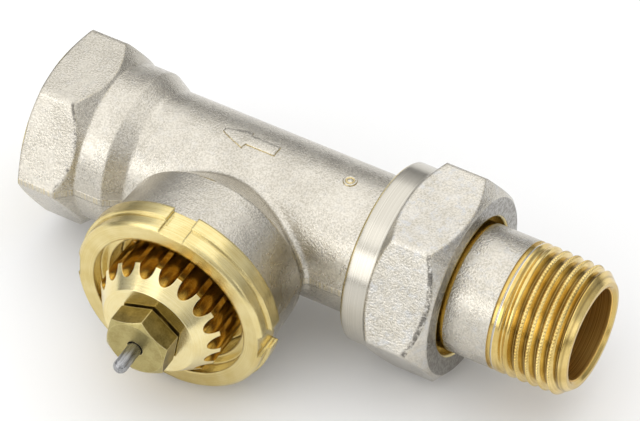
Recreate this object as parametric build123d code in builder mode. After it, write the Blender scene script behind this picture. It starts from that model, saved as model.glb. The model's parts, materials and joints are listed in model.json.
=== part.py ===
"""Straight radiator valve body, DN15, with its union tail and its spring-returned valve insert.

Millimetres. The origin is the centre of the pipe end's mouth. +X runs along the pipe towards the tail,
-Y is the way the pressure pin points out, and +Z is up.
"""
from build123d import *
import os
from math import cos, pi, radians, tan

# Pipe end: forged hexagon, collar and barrel
HEX_ACROSS_FLATS = 27.0
HEX_EDGE_ROUND = 1.2
HEX_EDGE_LENGTH = 6.8
HEX_FACE_DROP = 0.15
HEX_FRONT_ANGLE = 22.0
HEX_BACK_ANGLE = 42.0
COLLAR_DROP = 0.5
COLLAR_LENGTH = 4.6
COLLAR_EDGE_ROUND = 0.5
SHOULDER_LENGTH = 3.2
SHOULDER_FOOT_ROUND = 1.6
BARREL_RADIUS = 11.3
PIPE_BORE_RADIUS = 10.48
PIPE_BORE_DEPTH = 14.0

# Spindle neck and the notched ring that carries a control head
SPINDLE_ROOM = 0.325
RING_REAR_RADIUS = 16.7
RING_REAR_WIDTH = 2.4
RING_STEP_DROP = 0.45
RING_STEP_WIDTH = 2.0
RING_FACE_BEVEL = 0.5
RING_OVERHANG = 1.0
NECK_DRAFT = 0.5
NECK_RISE = 1.3
NECK_LENGTH = 8.9
NECK_SHOULDER_LENGTH = 7.6
NECK_SHOULDER_INSET = 2.6
NECK_BLEND = 1.0
NOTCH_COUNT = 4
NOTCH_WIDTH = 4.2
NOTCH_DEPTH = 1.1
NOTCH_PHASE = 3.0
RING_MOUTH_DEPTH = 2.2
RING_LEDGE_WIDTH = 1.5
CAVITY_DEPTH = 6.1
CAVITY_GAP = 1.1

# Waterway inside the body
SEAT_Y = -3.0
SEAT_RADIUS = 5.0
SEAT_LIP_WIDTH = 0.9
SEAT_LIP_HEIGHT = 0.8
CHAMBER_STEP = 0.4
LOWER_PASSAGE_RADIUS = 4.9
LOWER_PASSAGE_WALL = 1.8
LOWER_PASSAGE_REACH = 4.0
UPPER_PASSAGE_RADIUS = 4.8
UPPER_PASSAGE_START = 1.5
UPPER_PASSAGE_END = 18.5
UPPER_PASSAGE_DEPTH = 9.0
SMOOTH_BORE_RADIUS = 8.0
SMOOTH_BORE_GAP = 15.5

# Union joint: spigot on the body, nut and tail
UNION_REACH = 33.4
SPIGOT_RISE = 1.4
SPIGOT_LENGTH = 9.0
SPIGOT_BEVEL = 0.6
TAIL_NOSE_RADIUS = 8.9
TAIL_NOSE_LENGTH = 3.0
NUT_FLAT_RISE = 0.4
NUT_EDGE_ROUND = 0.8
NUT_LENGTH = 15.0
NUT_COLLAR_WALL = 1.6
NUT_COLLAR_LENGTH = 4.3
NUT_REAR_BEVEL = 0.35
NUT_BACK_ANGLE = 52.0
NUT_FACE_DROP = 0.5
NUT_FRONT_ANGLE = 50.0
NUT_WALL = 2.6
NUT_TURN = 3.0
NUT_HOLE_GAP = 0.9
NUT_HOLE_BEVEL = 0.25
NUT_THREAD_CLEARANCE = 0.3
TAIL_FLANGE_GAP = 1.05
TAIL_FLANGE_LENGTH = 2.0
TAIL_SHANK_RADIUS = 10.4
TAIL_SHANK_LENGTH = 10.4
TAIL_GROOVE_WIDTH = 0.8
TAIL_GROOVE_DEPTH = 0.35
TAIL_THREAD_LENGTH = 11.9
TAIL_THREAD_ROOT = 9.06
TAIL_TAPER = 1 / 16
TAIL_RIM_SHARE = 0.72
TAIL_END_ANGLE = 42.0
TAIL_BORE_RADIUS = 7.4

# Valve insert: splined bonnet, gland and moving pieces
BONNET_STANDOUT = 5.6
BONNET_FACE_RADIUS = 8.0
BONNET_SPLINE_RADIUS = 10.6
BONNET_CONE_LENGTH = 3.4
SPLINE_COUNT = 18
SPLINE_GROOVE_RADIUS = 1.38
SPLINE_GROOVE_DEPTH = 1.4
BONNET_SEAT_WIDTH = 1.2
BONNET_PLUG_LENGTH = 8.0
BONNET_RING_DEPTH = 1.4
BONNET_RING_WIDTH = 1.7
SPRING_ROOM_RADIUS = 5.2
BONNET_WEB = 3.2
GUIDE_LENGTH = 1.6
GLAND_ACROSS_FLATS = 9.9
GLAND_HEX_LENGTH = 3.7
GLAND_UNDERCUT = 0.35
GLAND_UNDERCUT_STEP = 0.65
GLAND_SHANK_RADIUS = 3.55
GLAND_SHANK_LENGTH = 4.6
GLAND_FACE_DROP = 0.2
GLAND_FACE_ANGLE = 30.0
GLAND_TURN = -50.0
GLAND_HOLE_GAP = 0.2
GLAND_HOLE_DEPTH = 1.4
GLAND_RING_WIDTH = 1.3
GLAND_RING_ROOM = 1.05
PIN_RADIUS = 1.15
PIN_STANDOUT = 5.2
PIN_HEEL_INSET = 1.0
SPINDLE_RADIUS = 1.75
SPINDLE_COLLAR_GAP = 0.8
SPINDLE_COLLAR_LENGTH = 1.2
SPINDLE_COLLAR_INSET = 1.0
PIN_TRAVEL = 2.5
SPRING_WIRE = 0.7
SPRING_GAP = 1.2
SPRING_COILS = 5
CONE_OVERLAP = 0.7
CONE_LENGTH = 2.6
CONE_RIM = 0.7
DISC_LENGTH = 2.2
DISC_PROUD = 0.6
RIVET_RADIUS = 2.6
RIVET_LENGTH = 0.8

# Gaps between pieces
THREAD_FIT = 0.05
SLIDE_FIT = 0.06
NOSE_FIT = 0.1
SEAL_FIT = 0.02
FACE_FIT = 0.02

# Places worked out from the sizes above
HEX_CORNER_RADIUS = HEX_ACROSS_FLATS / 2 / cos(pi / 6)
COLLAR_RADIUS = HEX_ACROSS_FLATS / 2 - COLLAR_DROP
COLLAR_START_X = HEX_EDGE_LENGTH + (HEX_CORNER_RADIUS - COLLAR_RADIUS) / tan(radians(HEX_BACK_ANGLE))
COLLAR_END_X = COLLAR_START_X + COLLAR_LENGTH
BARREL_START_X = COLLAR_END_X + SHOULDER_LENGTH
SPINDLE_X = BARREL_START_X + RING_REAR_RADIUS + SPINDLE_ROOM
UNION_FACE_X = SPINDLE_X + UNION_REACH
SPIGOT_START_X = UNION_FACE_X - SPIGOT_LENGTH
NUT_SHOULDER_X = UNION_FACE_X + TAIL_FLANGE_LENGTH
NUT_FACE_X = NUT_SHOULDER_X + NUT_WALL
NUT_REAR_X = NUT_FACE_X - NUT_LENGTH
SPIGOT_RADIUS = BARREL_RADIUS + SPIGOT_RISE
NUT_BORE_RADIUS = SPIGOT_RADIUS + NUT_THREAD_CLEARANCE
NUT_COLLAR_RADIUS = NUT_BORE_RADIUS + NUT_COLLAR_WALL
NUT_ACROSS_FLATS = 2 * (NUT_COLLAR_RADIUS + NUT_FLAT_RISE)
NUT_FACE_RADIUS = NUT_ACROSS_FLATS / 2 - NUT_FACE_DROP
NUT_HOLE_RADIUS = TAIL_SHANK_RADIUS + NUT_HOLE_GAP
TAIL_FLANGE_RADIUS = NUT_BORE_RADIUS - TAIL_FLANGE_GAP
TAIL_RIM_RADIUS = TAIL_BORE_RADIUS + TAIL_RIM_SHARE * (TAIL_THREAD_ROOT - TAIL_BORE_RADIUS)
TAIL_BORE_BEVEL = (TAIL_RIM_RADIUS - TAIL_BORE_RADIUS) / 2
TAIL_GROOVE_X = NUT_SHOULDER_X + TAIL_SHANK_LENGTH
TAIL_THREAD_X = TAIL_GROOVE_X + TAIL_GROOVE_WIDTH
TAIL_END_X = TAIL_THREAD_X + TAIL_THREAD_LENGTH
NECK_FOOT_Y = -BARREL_RADIUS - NECK_RISE
RING_REAR_Y = NECK_FOOT_Y - NECK_LENGTH
RING_FACE_Y = RING_REAR_Y - RING_REAR_WIDTH - RING_STEP_WIDTH - RING_FACE_BEVEL
RING_STEP_RADIUS = RING_REAR_RADIUS - RING_STEP_DROP
NECK_RADIUS = RING_REAR_RADIUS - RING_OVERHANG
NECK_FOOT_RADIUS = NECK_RADIUS - NECK_DRAFT
BONNET_FACE_Y = RING_FACE_Y - BONNET_STANDOUT
BONNET_SEAT_Y = RING_FACE_Y + CAVITY_DEPTH
BONNET_PLUG_RADIUS = BONNET_SPLINE_RADIUS - BONNET_SEAT_WIDTH
CAVITY_RADIUS = BONNET_SPLINE_RADIUS + CAVITY_GAP
RING_MOUTH_RADIUS = CAVITY_RADIUS + RING_LEDGE_WIDTH
CHAMBER_RADIUS = BONNET_PLUG_RADIUS - CHAMBER_STEP
BONNET_BOTTOM_Y = BONNET_SEAT_Y + BONNET_PLUG_LENGTH
LOWER_PASSAGE_Y = BARREL_RADIUS - LOWER_PASSAGE_WALL - LOWER_PASSAGE_RADIUS
GUIDE_Y = BONNET_BOTTOM_Y - GUIDE_LENGTH
GLAND_SHANK_START_Y = BONNET_FACE_Y + GLAND_SHANK_LENGTH
GLAND_BACK_Y = BONNET_FACE_Y - GLAND_UNDERCUT
GLAND_FRONT_Y = GLAND_BACK_Y - GLAND_HEX_LENGTH
GLAND_FACE_RADIUS = GLAND_ACROSS_FLATS / 2 - GLAND_FACE_DROP
GLAND_UNDERCUT_RADIUS = GLAND_SHANK_RADIUS + GLAND_UNDERCUT_STEP
GLAND_HOLE_RADIUS = PIN_RADIUS + GLAND_HOLE_GAP
GLAND_RING_RADIUS = PIN_RADIUS + GLAND_RING_ROOM
PIN_TIP_Y = GLAND_FRONT_Y - PIN_STANDOUT
PIN_HEEL_Y = GLAND_SHANK_START_Y + PIN_HEEL_INSET
SPRING_ROOM_Y = GLAND_SHANK_START_Y + BONNET_WEB
SPINDLE_COLLAR_Y = SPRING_ROOM_Y + SPINDLE_COLLAR_INSET
SPINDLE_COLLAR_RADIUS = SPRING_ROOM_RADIUS - SPINDLE_COLLAR_GAP
SPRING_RADIUS = SPRING_ROOM_RADIUS - SPRING_GAP - SPRING_WIRE / 2
CONE_RADIUS = SEAT_RADIUS + SEAT_LIP_WIDTH + CONE_OVERLAP
DISC_FACE_Y = SEAT_Y - PIN_TRAVEL - FACE_FIT
DISC_BACK_Y = DISC_FACE_Y - DISC_LENGTH
CONE_BACK_Y = DISC_FACE_Y - DISC_PROUD - CONE_LENGTH
SPRING_TOP_Y = SPINDLE_COLLAR_Y + SPINDLE_COLLAR_LENGTH

PIPE_AXIS = Axis.X
SPINDLE_AXIS = Axis((SPINDLE_X, 0, 0), (0, 1, 0))


def on_spindle(radius, y):
    """Point of a profile that is turned about the spindle axis."""
    return (SPINDLE_X + radius, y)


def turn(points, axis, mode=Mode.ADD, rounds=None, plane=Plane.XY):
    """Turns a closed outline about an axis; rounds gives a fillet radius for a point's number."""
    radii = [(rounds or {}).get(number, 0) for number in range(len(points))]
    with BuildSketch(plane) as outline:
        with BuildLine():
            if rounds:
                FilletPolyline(*points, radius=radii, close=True)
            else:
                Polyline(*points, close=True)
        make_face()
    revolve(outline.sketch, axis=axis, mode=mode)


def turn_spindle(points, mode=Mode.ADD, rounds=None):
    """Turns an outline of (radius, y) points about the spindle axis."""
    turn([on_spindle(radius, y) for radius, y in points], SPINDLE_AXIS, mode, rounds)


def bore(radius, start, end, axis, mode=Mode.SUBTRACT):
    """Straight round hole between two places along an axis."""
    if axis is SPINDLE_AXIS:
        turn_spindle([(0, start), (radius, start), (radius, end), (0, end)], mode)
    else:
        turn([(start, 0), (start, radius), (end, radius), (end, 0)], axis, mode)


def hex_prism(across_flats, plane, length, turned, edge_round):
    """Hexagonal bar, with rounded corner edges, that starts on a plane."""
    with BuildSketch(plane) as section:
        RegularPolygon(radius=across_flats / 2, side_count=6, major_radius=False, rotation=turned)
        if edge_round:
            fillet(section.vertices(), radius=edge_round)
    extrude(section.sketch, amount=length)


# Valve body: one hot forging, machined at the pipe end, union, ring and insert bore
def add_pipe_hex():
    """Hexagon with two flats level, turned to a cone at the mouth and to another behind it."""
    hex_end_x = COLLAR_END_X
    hex_prism(HEX_ACROSS_FLATS, Plane.YZ, hex_end_x, 0, HEX_EDGE_ROUND)
    reach = HEX_CORNER_RADIUS
    face_radius = HEX_ACROSS_FLATS / 2 - HEX_FACE_DROP
    front_depth = (reach - face_radius) * tan(radians(HEX_FRONT_ANGLE))
    cone_drop = (hex_end_x - HEX_EDGE_LENGTH) * tan(radians(HEX_BACK_ANGLE))
    turn([(0, 0), (0, face_radius), (front_depth, reach), (HEX_EDGE_LENGTH, reach),
          (hex_end_x, reach - cone_drop), (hex_end_x, 0)], PIPE_AXIS, Mode.INTERSECT)


def add_barrel():
    """Collar, sloping shoulder, barrel and the threaded union spigot."""
    collar_from = HEX_EDGE_LENGTH / 2
    turn([(collar_from, 0), (collar_from, COLLAR_RADIUS), (COLLAR_END_X, COLLAR_RADIUS),
          (BARREL_START_X, BARREL_RADIUS), (SPIGOT_START_X, BARREL_RADIUS), (SPIGOT_START_X, SPIGOT_RADIUS),
          (UNION_FACE_X - SPIGOT_BEVEL, SPIGOT_RADIUS), (UNION_FACE_X, SPIGOT_RADIUS - SPIGOT_BEVEL),
          (UNION_FACE_X, 0)], PIPE_AXIS, rounds={2: COLLAR_EDGE_ROUND, 3: SHOULDER_FOOT_ROUND})


def add_neck():
    """Stepped ring and neck, with a shoulder that slopes into the barrel and its seam at the side."""
    step_y = RING_REAR_Y - RING_REAR_WIDTH
    shoulder_end_y = NECK_FOOT_Y + NECK_SHOULDER_LENGTH
    side_plane = Plane((SPINDLE_X, 0, 0), x_dir=(0, 0, -1), z_dir=(1, 0, 0))
    turn([(0, RING_FACE_Y), (RING_STEP_RADIUS - RING_FACE_BEVEL, RING_FACE_Y),
          (RING_STEP_RADIUS, RING_FACE_Y + RING_FACE_BEVEL), (RING_STEP_RADIUS, step_y),
          (RING_REAR_RADIUS, step_y), (RING_REAR_RADIUS, RING_REAR_Y), (NECK_RADIUS, RING_REAR_Y),
          (NECK_FOOT_RADIUS, NECK_FOOT_Y), (BARREL_RADIUS - NECK_SHOULDER_INSET, shoulder_end_y),
          (0, shoulder_end_y)], SPINDLE_AXIS, plane=side_plane)


def is_neck_joint(edge):
    """True for the curved line where the neck runs into the barrel."""
    near_neck = abs(edge.center().X - SPINDLE_X) < NECK_RADIUS
    return near_neck and edge.geom_type not in (GeomType.LINE, GeomType.CIRCLE)


def cut_ring():
    """Notches round the ring, and the stepped cavity that the insert sits in."""
    ring_depth = RING_REAR_Y - RING_FACE_Y
    ring_middle_y = (RING_REAR_Y + RING_FACE_Y) / 2
    notch_reach = RING_REAR_RADIUS - NOTCH_DEPTH
    for number in range(NOTCH_COUNT):
        angle = NOTCH_PHASE + number * 360 / NOTCH_COUNT
        with Locations(Location((SPINDLE_X, ring_middle_y, 0), (0, angle, 0))):
            with Locations((0, 0, notch_reach + NOTCH_DEPTH)):
                Box(NOTCH_WIDTH, ring_depth * 1.01, 2 * NOTCH_DEPTH, mode=Mode.SUBTRACT)
    bore(RING_MOUTH_RADIUS, RING_FACE_Y, RING_FACE_Y + RING_MOUTH_DEPTH, SPINDLE_AXIS)
    bore(CAVITY_RADIUS, RING_FACE_Y, BONNET_SEAT_Y, SPINDLE_AXIS)
    bore(BONNET_PLUG_RADIUS + THREAD_FIT, BONNET_SEAT_Y, BONNET_BOTTOM_Y, SPINDLE_AXIS)


def cut_waterway():
    """Bores from both ends, and the way between them: under the seat, through it and out of its chamber."""
    chamber_floor = SEAT_Y + SEAT_LIP_HEIGHT
    lip_radius = SEAT_RADIUS + SEAT_LIP_WIDTH
    tail_bore_x = SPINDLE_X + SMOOTH_BORE_GAP
    bore(PIPE_BORE_RADIUS, 0, PIPE_BORE_DEPTH, PIPE_AXIS)
    bore(SMOOTH_BORE_RADIUS, PIPE_BORE_DEPTH, SPINDLE_X - SMOOTH_BORE_GAP, PIPE_AXIS)
    bore(SMOOTH_BORE_RADIUS, tail_bore_x, UNION_FACE_X, PIPE_AXIS)
    bore(TAIL_NOSE_RADIUS + NOSE_FIT, UNION_FACE_X - TAIL_NOSE_LENGTH - NOSE_FIT, UNION_FACE_X, PIPE_AXIS)
    with BuildSketch(Plane.YZ.offset(tail_bore_x)) as lower_section:
        with Locations((LOWER_PASSAGE_Y, 0)):
            Circle(LOWER_PASSAGE_RADIUS)
    extrude(lower_section.sketch, amount=-SMOOTH_BORE_GAP - LOWER_PASSAGE_REACH, mode=Mode.SUBTRACT)
    turn_spindle([(0, BONNET_BOTTOM_Y), (CHAMBER_RADIUS, BONNET_BOTTOM_Y), (CHAMBER_RADIUS, chamber_floor),
                  (lip_radius, chamber_floor), (lip_radius, SEAT_Y), (0, SEAT_Y)], Mode.SUBTRACT)
    bore(SEAT_RADIUS, SEAT_Y, LOWER_PASSAGE_Y, SPINDLE_AXIS)
    start = Vector(SPINDLE_X - UPPER_PASSAGE_START, -UPPER_PASSAGE_DEPTH, 0)
    end = Vector(SPINDLE_X - UPPER_PASSAGE_END, 0, 0)
    with BuildSketch(Plane(origin=start, z_dir=end - start)) as upper_section:
        Circle(UPPER_PASSAGE_RADIUS)
    extrude(upper_section.sketch, amount=(end - start).length, mode=Mode.SUBTRACT)


with BuildPart() as valve_body:
    add_pipe_hex()
    add_barrel()
    add_neck()
    fillet(valve_body.edges().filter_by(is_neck_joint), radius=NECK_BLEND)
    cut_ring()
    cut_waterway()


# Union nut: hexagon with a turned collar towards the body and a wall that pulls on the tail's flange
with BuildPart() as union_nut:
    corner = NUT_ACROSS_FLATS / 2 / cos(pi / 6)
    flat_start_x = NUT_REAR_X + NUT_COLLAR_LENGTH
    back_bevel_x = flat_start_x + (corner - NUT_ACROSS_FLATS / 2) / tan(radians(NUT_BACK_ANGLE))
    front_bevel_x = NUT_FACE_X - (corner - NUT_FACE_RADIUS) / tan(radians(NUT_FRONT_ANGLE))
    hex_plane = Plane.YZ.offset(flat_start_x)
    hex_prism(NUT_ACROSS_FLATS, hex_plane, NUT_FACE_X - flat_start_x, NUT_TURN, NUT_EDGE_ROUND)
    turn([(flat_start_x, 0), (flat_start_x, NUT_ACROSS_FLATS / 2), (back_bevel_x, corner),
          (front_bevel_x, corner), (NUT_FACE_X, NUT_FACE_RADIUS), (NUT_FACE_X, 0)],
         PIPE_AXIS, Mode.INTERSECT)
    turn([(NUT_REAR_X, 0), (NUT_REAR_X, NUT_COLLAR_RADIUS - NUT_REAR_BEVEL),
          (NUT_REAR_X + NUT_REAR_BEVEL, NUT_COLLAR_RADIUS), (back_bevel_x, NUT_COLLAR_RADIUS),
          (back_bevel_x, 0)], PIPE_AXIS)
    bore(NUT_BORE_RADIUS, NUT_REAR_X, NUT_SHOULDER_X, PIPE_AXIS)
    turn([(NUT_SHOULDER_X, 0), (NUT_SHOULDER_X, NUT_HOLE_RADIUS),
          (NUT_FACE_X - NUT_HOLE_BEVEL, NUT_HOLE_RADIUS), (NUT_FACE_X, NUT_HOLE_RADIUS + NUT_HOLE_BEVEL),
          (NUT_FACE_X, 0)], PIPE_AXIS, Mode.SUBTRACT)


# Tail piece: nose, flange, shank and the tapered threaded end, drawn at the root of its thread
with BuildPart() as tail_piece:
    nose_x = UNION_FACE_X - TAIL_NOSE_LENGTH
    groove_radius = TAIL_SHANK_RADIUS - TAIL_GROOVE_DEPTH
    bevel_slope = tan(radians(TAIL_END_ANGLE))
    bevel_start_x = TAIL_END_X - (TAIL_THREAD_ROOT - TAIL_RIM_RADIUS) / bevel_slope
    thread_start_root = TAIL_THREAD_ROOT + (bevel_start_x - TAIL_THREAD_X) * TAIL_TAPER / 2
    turn([(nose_x, TAIL_BORE_RADIUS), (nose_x, TAIL_NOSE_RADIUS), (UNION_FACE_X, TAIL_NOSE_RADIUS),
          (UNION_FACE_X, TAIL_FLANGE_RADIUS), (NUT_SHOULDER_X, TAIL_FLANGE_RADIUS),
          (NUT_SHOULDER_X, TAIL_SHANK_RADIUS), (TAIL_GROOVE_X, TAIL_SHANK_RADIUS),
          (TAIL_GROOVE_X, groove_radius), (TAIL_THREAD_X, groove_radius), (TAIL_THREAD_X, thread_start_root),
          (bevel_start_x, TAIL_THREAD_ROOT), (TAIL_END_X, TAIL_RIM_RADIUS),
          (TAIL_END_X, TAIL_BORE_RADIUS + TAIL_BORE_BEVEL),
          (TAIL_END_X - TAIL_BORE_BEVEL, TAIL_BORE_RADIUS)], PIPE_AXIS)


# Bonnet: screwed insert housing with a splined crown for its key
ring_groove_y = (BONNET_SEAT_Y + BONNET_BOTTOM_Y) / 2
ring_groove_radius = BONNET_PLUG_RADIUS - BONNET_RING_DEPTH
with BuildPart() as bonnet:
    groove_near_y = ring_groove_y - BONNET_RING_WIDTH / 2
    groove_far_y = ring_groove_y + BONNET_RING_WIDTH / 2
    turn_spindle([(0, BONNET_FACE_Y), (BONNET_FACE_RADIUS, BONNET_FACE_Y),
                  (BONNET_SPLINE_RADIUS, BONNET_FACE_Y + BONNET_CONE_LENGTH),
                  (BONNET_SPLINE_RADIUS, BONNET_SEAT_Y), (BONNET_PLUG_RADIUS, BONNET_SEAT_Y),
                  (BONNET_PLUG_RADIUS, groove_near_y), (ring_groove_radius, groove_near_y),
                  (ring_groove_radius, groove_far_y), (BONNET_PLUG_RADIUS, groove_far_y),
                  (BONNET_PLUG_RADIUS, BONNET_BOTTOM_Y), (0, BONNET_BOTTOM_Y)])
    groove_centre = BONNET_SPLINE_RADIUS - SPLINE_GROOVE_DEPTH + SPLINE_GROOVE_RADIUS
    with BuildSketch(Plane((SPINDLE_X, BONNET_FACE_Y, 0), x_dir=(1, 0, 0), z_dir=(0, 1, 0))):
        with PolarLocations(groove_centre, SPLINE_COUNT):
            Circle(SPLINE_GROOVE_RADIUS)
    extrude(amount=BONNET_SEAT_Y - BONNET_FACE_Y - SPLINE_GROOVE_RADIUS, mode=Mode.SUBTRACT)
    bore(GLAND_SHANK_RADIUS + THREAD_FIT, BONNET_FACE_Y, GLAND_SHANK_START_Y, SPINDLE_AXIS)
    bore(SPINDLE_RADIUS + SLIDE_FIT, GLAND_SHANK_START_Y, SPRING_ROOM_Y, SPINDLE_AXIS)
    bore(SPRING_ROOM_RADIUS, SPRING_ROOM_Y, BONNET_BOTTOM_Y, SPINDLE_AXIS)


# Seals round the bonnet's plug and round the pin
def seal_ring(middle_y, inner_radius, outer_radius):
    """Round-section seal that fills the room between two walls."""
    section = (outer_radius - inner_radius) / 2 - SEAL_FIT
    with BuildSketch(Plane.XY) as outline:
        with Locations(on_spindle((outer_radius + inner_radius) / 2, middle_y)):
            Circle(section)
    revolve(outline.sketch, axis=SPINDLE_AXIS)


with BuildPart() as bonnet_seal:
    seal_ring(ring_groove_y, ring_groove_radius, BONNET_PLUG_RADIUS + THREAD_FIT)

pin_seal_y = GLAND_BACK_Y + GLAND_UNDERCUT + GLAND_SHANK_LENGTH / 2
with BuildPart() as pin_seal:
    seal_ring(pin_seal_y, PIN_RADIUS, GLAND_RING_RADIUS)


# Gland nut: screwed plug that carries the pin's seal and can be changed under pressure
with BuildPart() as gland_nut:
    gland_corner = GLAND_ACROSS_FLATS / 2 / cos(pi / 6)
    face_drop = (gland_corner - GLAND_FACE_RADIUS) * tan(radians(GLAND_FACE_ANGLE))
    hex_plane = Plane((SPINDLE_X, GLAND_BACK_Y, 0), x_dir=(1, 0, 0), z_dir=(0, -1, 0))
    hex_prism(GLAND_ACROSS_FLATS, hex_plane, GLAND_HEX_LENGTH, 90 - GLAND_TURN, 0)
    turn_spindle([(0, GLAND_BACK_Y), (gland_corner, GLAND_BACK_Y), (gland_corner, GLAND_FRONT_Y + face_drop),
                  (GLAND_FACE_RADIUS, GLAND_FRONT_Y), (0, GLAND_FRONT_Y)], Mode.INTERSECT)
    bore(GLAND_UNDERCUT_RADIUS, GLAND_BACK_Y, BONNET_FACE_Y, SPINDLE_AXIS, Mode.ADD)
    bore(GLAND_SHANK_RADIUS, BONNET_FACE_Y, GLAND_SHANK_START_Y - FACE_FIT, SPINDLE_AXIS, Mode.ADD)
    bore(PIN_RADIUS + SLIDE_FIT, GLAND_FRONT_Y, GLAND_SHANK_START_Y, SPINDLE_AXIS)
    bore(GLAND_HOLE_RADIUS, GLAND_FRONT_Y, GLAND_FRONT_Y + GLAND_HOLE_DEPTH, SPINDLE_AXIS)
    seal_room_y = pin_seal_y - GLAND_RING_WIDTH / 2
    bore(GLAND_RING_RADIUS, seal_room_y, seal_room_y + GLAND_RING_WIDTH, SPINDLE_AXIS)


# Pressure pin: stainless rod with a domed tip that a head pushes on
with BuildPart() as pressure_pin:
    bore(PIN_RADIUS, PIN_TIP_Y + PIN_RADIUS, PIN_HEEL_Y, SPINDLE_AXIS, Mode.ADD)
    with Locations((SPINDLE_X, PIN_TIP_Y + PIN_RADIUS, 0)):
        Sphere(PIN_RADIUS)


# Spindle: turned rod with a spring collar, riveted over under the disc
with BuildPart() as valve_spindle:
    bore(SPINDLE_RADIUS, PIN_HEEL_Y, DISC_FACE_Y, SPINDLE_AXIS, Mode.ADD)
    bore(SPINDLE_COLLAR_RADIUS, SPINDLE_COLLAR_Y, SPRING_TOP_Y, SPINDLE_AXIS, Mode.ADD)
    bore(RIVET_RADIUS, DISC_FACE_Y, DISC_FACE_Y + RIVET_LENGTH, SPINDLE_AXIS, Mode.ADD)


# Guide bush: closes the bonnet's bottom and carries the spring
with BuildPart() as guide_bush:
    turn_spindle([(SPINDLE_RADIUS + SLIDE_FIT, GUIDE_Y), (SPRING_ROOM_RADIUS - THREAD_FIT, GUIDE_Y),
                  (SPRING_ROOM_RADIUS - THREAD_FIT, BONNET_BOTTOM_Y),
                  (SPINDLE_RADIUS + SLIDE_FIT, BONNET_BOTTOM_Y)])


# Return spring: open coil between the guide bush and the spindle's collar
with BuildPart() as return_spring:
    spring_room = GUIDE_Y - SPRING_TOP_Y
    coil_height = spring_room - SPRING_WIRE - 2 * FACE_FIT
    coil_start_y = SPRING_TOP_Y + SPRING_WIRE / 2 + FACE_FIT
    with BuildLine() as coil:
        Helix(pitch=coil_height / SPRING_COILS, height=coil_height, radius=SPRING_RADIUS,
              center=(SPINDLE_X, coil_start_y, 0), direction=(0, 1, 0))
    with BuildSketch(Plane(origin=coil.line @ 0, z_dir=coil.line % 0)):
        Circle(SPRING_WIRE / 2)
    sweep(path=coil.line, is_frenet=True)


# Cone and disc: brass cup and the rubber disc that closes on the seat
with BuildPart() as valve_cone:
    rim_y = DISC_FACE_Y - DISC_PROUD
    turn_spindle([(SPINDLE_RADIUS, CONE_BACK_Y), (CONE_RADIUS, CONE_BACK_Y), (CONE_RADIUS, rim_y),
                  (CONE_RADIUS - CONE_RIM, rim_y), (CONE_RADIUS - CONE_RIM, DISC_BACK_Y),
                  (SPINDLE_RADIUS, DISC_BACK_Y)])

with BuildPart() as valve_disc:
    turn_spindle([(SPINDLE_RADIUS, DISC_BACK_Y), (CONE_RADIUS - CONE_RIM, DISC_BACK_Y),
                  (CONE_RADIUS - CONE_RIM, DISC_FACE_Y), (SPINDLE_RADIUS, DISC_FACE_Y)])


NODES = {
    "valve_body": valve_body,
    "union_nut": union_nut,
    "tail_piece": tail_piece,
    "bonnet": bonnet,
    "bonnet_seal": bonnet_seal,
    "gland_nut": gland_nut,
    "pin_seal": pin_seal,
    "pressure_pin": pressure_pin,
    "valve_spindle": valve_spindle,
    "guide_bush": guide_bush,
    "return_spring": return_spring,
    "valve_cone": valve_cone,
    "valve_disc": valve_disc,
}

os.makedirs("parts", exist_ok=True)
for node_name, piece in NODES.items():
    piece.part.label = node_name
    export_step(piece.part, f"parts/{node_name}.step")
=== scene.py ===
import json
import math

import bmesh
import bpy
from mathutils import Matrix, Vector


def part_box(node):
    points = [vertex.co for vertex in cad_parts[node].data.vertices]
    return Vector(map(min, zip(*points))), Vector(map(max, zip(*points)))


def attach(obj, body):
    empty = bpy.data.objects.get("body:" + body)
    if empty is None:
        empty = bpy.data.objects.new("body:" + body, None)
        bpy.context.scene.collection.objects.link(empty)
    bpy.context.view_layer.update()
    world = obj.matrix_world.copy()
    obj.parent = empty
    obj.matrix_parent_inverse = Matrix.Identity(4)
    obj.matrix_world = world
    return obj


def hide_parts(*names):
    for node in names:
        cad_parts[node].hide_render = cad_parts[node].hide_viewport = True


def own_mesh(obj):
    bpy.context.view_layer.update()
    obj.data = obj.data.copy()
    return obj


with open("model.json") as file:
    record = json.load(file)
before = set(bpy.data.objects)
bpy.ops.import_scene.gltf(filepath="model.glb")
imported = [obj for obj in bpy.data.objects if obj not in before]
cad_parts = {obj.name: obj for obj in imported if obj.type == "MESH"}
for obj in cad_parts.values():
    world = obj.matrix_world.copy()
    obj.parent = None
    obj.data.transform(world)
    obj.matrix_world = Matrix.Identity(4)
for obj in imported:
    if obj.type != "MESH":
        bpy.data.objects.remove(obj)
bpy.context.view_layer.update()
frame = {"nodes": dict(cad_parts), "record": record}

MM = 0.001
TURN = 2 * math.pi
SPINDLE_X = 34.5
BARREL_RADIUS = 11.3

# Places, in millimetres, where one finish gives way to another
RING_BACK_Y = -21.5
INSERT_RADIUS = 13.6
INSERT_DEPTH = 5.0
WATERWAY_RADIUS = 10.9
MOUTH_FACE_X = 0.25
SPIGOT_X = 58.9
PARTING_HALF_HEIGHT = 0.75
NECK_LINE_Y = -12.6
NECK_RADIUS = 15.2
NUT_REAR_X = 57.5
NUT_COLLAR_END_X = 61.8
NUT_BORE_RADIUS = 13.1
NUT_HOLE_RADIUS = 11.3
NUT_FACE_X = 72.5
NUT_FACE_RADIUS = 14.5
NUT_FRONT_SLOPE = math.tan(math.radians(50))
NUT_CORNER_RADIUS = 17.3
NUT_TURN = 3.0
HEX_FLAT_RADIUS = 13.5
HEX_CORNER_RADIUS = 15.59
HEX_EDGE_X = 6.8
HEX_BACK_SLOPE = math.tan(math.radians(42))
TAIL_BARE_X = 72.95
TAIL_GROOVE_X = 80.3
TAIL_LAND_X = 80.85
TAIL_THREAD_X = 81.1
TAIL_BORE_RADIUS = 7.6

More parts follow.
